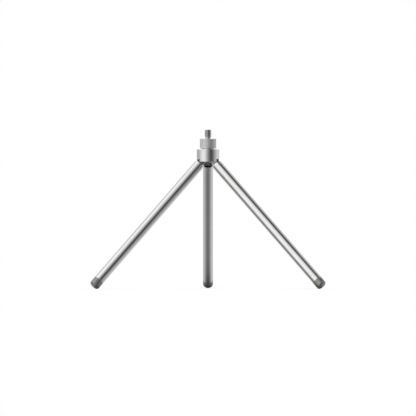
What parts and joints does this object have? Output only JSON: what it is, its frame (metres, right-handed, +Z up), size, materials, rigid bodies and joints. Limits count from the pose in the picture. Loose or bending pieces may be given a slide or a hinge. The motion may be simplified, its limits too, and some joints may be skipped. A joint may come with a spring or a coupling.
{
  "type": "table tripod",
  "caption": "Small folding table tripod: tube legs hinged in a turned hub, a knurled thumb wheel and a camera screw on top, rubber foot caps.",
  "frame": {"origin": "centre of the camera seat, the flat top face of the thumb wheel, on the axis of the head", "axes": "+Z up, along the camera screw; +Y level, over leg_back; leg_left lies towards -X and leg_right towards +X"},
  "size_m": [0.2078, 0.1811, 0.1411],
  "materials": {
    "screw_steel": "turned, cut thread",
    "satin_aluminium": "fine knurled, satin",
    "bush_steel": "ground",
    "hardware_steel": "ground",
    "spring_steel": "blued",
    "turned_aluminium": "fine turned, polished",
    "carrier_aluminium": "milled",
    "blackened_steel": "milled, blackened",
    "polished_ferrule": "turned, polished",
    "drawn_aluminium": "drawn and polished along the tube",
    "foot_rubber": "matte moulded"
  },
  "bodies": {
    "head": {"hub_shell": "turned_aluminium", "leg_carrier": "carrier_aluminium", "spindle_bush": "bush_steel", "bearing_washer": "hardware_steel", "pivot_pin_back": "hardware_steel", "pivot_pin_left": "hardware_steel", "pivot_pin_right": "hardware_steel"},
    "camera_wheel": {"camera_screw": "screw_steel", "thumb_wheel": "satin_aluminium", "disc_spring": "spring_steel", "retaining_clip": "spring_steel"},
    "leg_back": {"tongue_back": "blackened_steel", "ferrule_back": "polished_ferrule", "leg_tube_back": "drawn_aluminium", "foot_cap_back": "foot_rubber"},
    "leg_left": {"tongue_left": "blackened_steel", "ferrule_left": "polished_ferrule", "leg_tube_left": "drawn_aluminium", "foot_cap_left": "foot_rubber"},
    "leg_right": {"tongue_right": "blackened_steel", "ferrule_right": "polished_ferrule", "leg_tube_right": "drawn_aluminium", "foot_cap_right": "foot_rubber"}
  },
  "joints": [
    {"name": "wheel_spin", "type": "hinge", "parent": "head", "child": "camera_wheel", "pos_m": [0, 0, -0.009], "axis": [0, 0, 1], "continuous": true},
    {"name": "leg_back_fold", "type": "hinge", "parent": "head", "child": "leg_back", "pos_m": [0, 0.0054, -0.0193], "axis": [-1, 0, 0], "range_deg": [0, 45]},
    {"name": "leg_left_fold", "type": "hinge", "parent": "head", "child": "leg_left", "pos_m": [-0.00468, -0.0027, -0.0193], "axis": [0.5, -0.866, 0], "range_deg": [0, 45]},
    {"name": "leg_right_fold", "type": "hinge", "parent": "head", "child": "leg_right", "pos_m": [0.00468, -0.0027, -0.0193], "axis": [0.5, 0.866, 0], "range_deg": [0, 45]}
  ]
}
